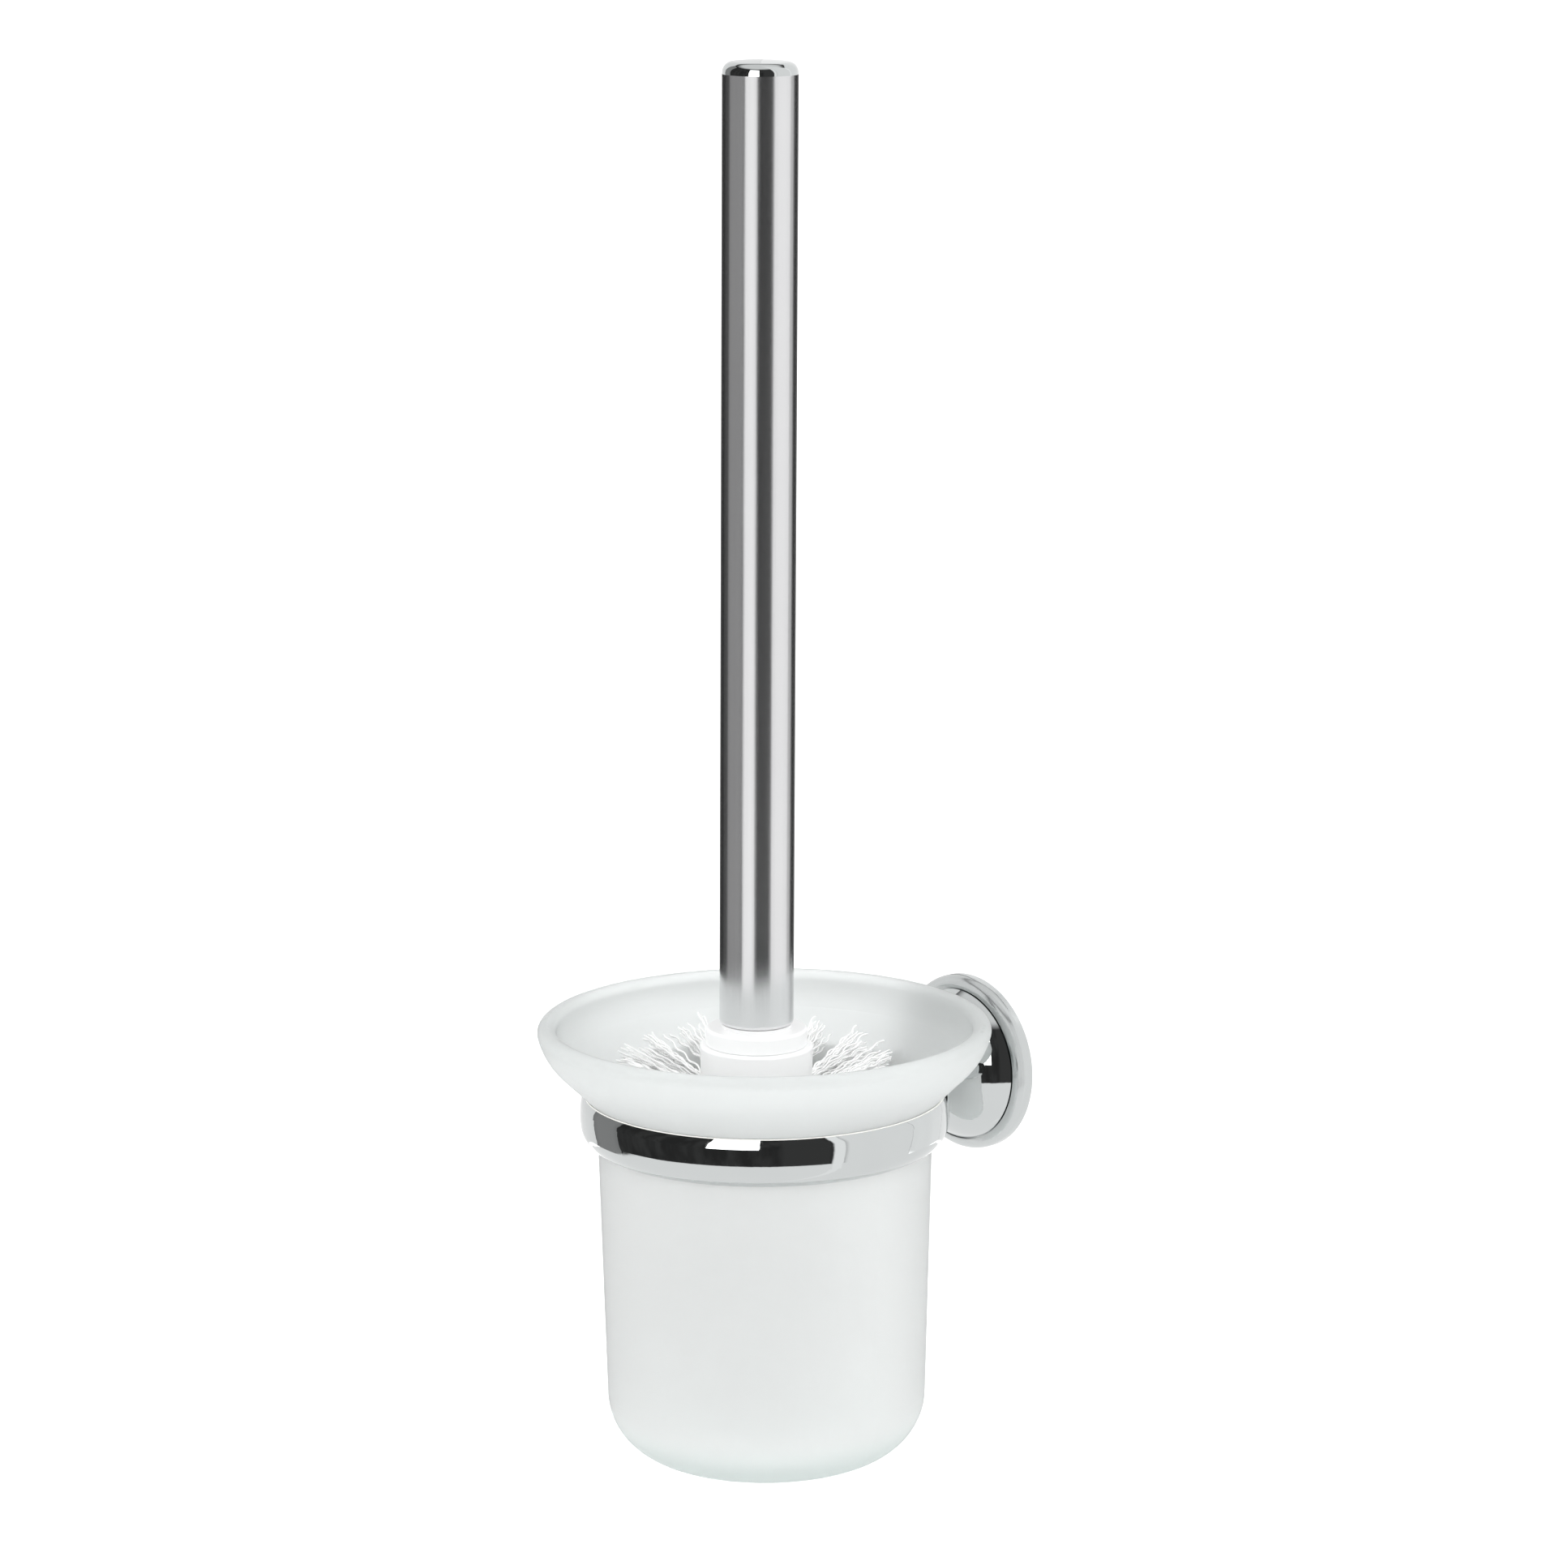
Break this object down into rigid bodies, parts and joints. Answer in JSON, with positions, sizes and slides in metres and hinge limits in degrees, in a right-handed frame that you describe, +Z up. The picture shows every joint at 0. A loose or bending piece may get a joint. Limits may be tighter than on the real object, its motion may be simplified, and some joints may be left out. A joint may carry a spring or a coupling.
{
  "type": "toilet brush holder",
  "caption": "Wall-mounted toilet brush set: a frosted glass cup with a flared dish hangs in a chrome ring on an arm and round wall rosette, with a chrome-handled brush.",
  "frame": {"origin": "centre of the rosette's back face, on the wall plane", "axes": "+Y into the wall, so the holder stands out towards -Y; +Z up; +X to the right seen from the room"},
  "size_m": [0.1346, 0.1528, 0.4155],
  "materials": {
    "chrome": "mirror chrome plate",
    "polished_tube": "polished tube",
    "frosted_glass": "acid-etched matt glass",
    "white_plastic": "satin moulded plastic",
    "bristle_nylon": "crimped nylon bristle",
    "liner_plastic": "clear soft plastic",
    "washer_rubber": "white soft washer",
    "insert_brass": "turned brass",
    "fastener_steel": "zinc-plated steel",
    "zinc_plate": "cast zinc plate"
  },
  "bodies": {
    "wall_holder": {"wall_plate": "zinc_plate", "rosette_rim": "chrome", "rosette_dome": "chrome", "grub_screw": "fastener_steel", "arm": "chrome", "arm_screw": "fastener_steel", "ring_screw": "fastener_steel", "holder_ring": "chrome", "ring_liner": "liner_plastic"},
    "cup": {"glass_cup": "frosted_glass"},
    "brush_head": {"brush_core": "white_plastic", "lower_collar": "white_plastic", "upper_collar": "white_plastic", "threaded_insert": "insert_brass", "bristle_row_1": "bristle_nylon", "bristle_row_2": "bristle_nylon", "bristle_row_3": "bristle_nylon", "bristle_row_4": "bristle_nylon", "bristle_row_5": "bristle_nylon", "bristle_row_6": "bristle_nylon", "bristle_row_7": "bristle_nylon", "bristle_row_top": "bristle_nylon", "bristle_end_row": "bristle_nylon"},
    "washer": {"seal_washer": "washer_rubber"},
    "handle": {"handle_tube": "polished_tube", "handle_cap": "chrome", "tube_plug": "insert_brass", "threaded_stud": "fastener_steel"}
  },
  "joints": [
    {"name": "cup_lift", "type": "slide", "parent": "wall_holder", "child": "cup", "axis": [0, 0, 1], "range_m": [0, 0.12]},
    {"name": "brush_lift", "type": "slide", "parent": "cup", "child": "brush_head", "axis": [0.0066, 0.0072, 1], "range_m": [0, 0.13]},
    {"name": "handle_rise", "type": "slide", "parent": "brush_head", "child": "washer", "axis": [0.0066, 0.0072, 1], "range_m": [0, 0.0075]},
    {"name": "handle_turn", "type": "hinge", "parent": "washer", "child": "handle", "pos_m": [-0.00157, -0.08721, 0.026], "axis": [0.0066, 0.0072, 1], "range_deg": [0, 2160]}
  ],
  "couplings": [
    {"joint": "handle_rise", "follows": "handle_turn", "m_per_rad": 0.00019894}
  ]
}
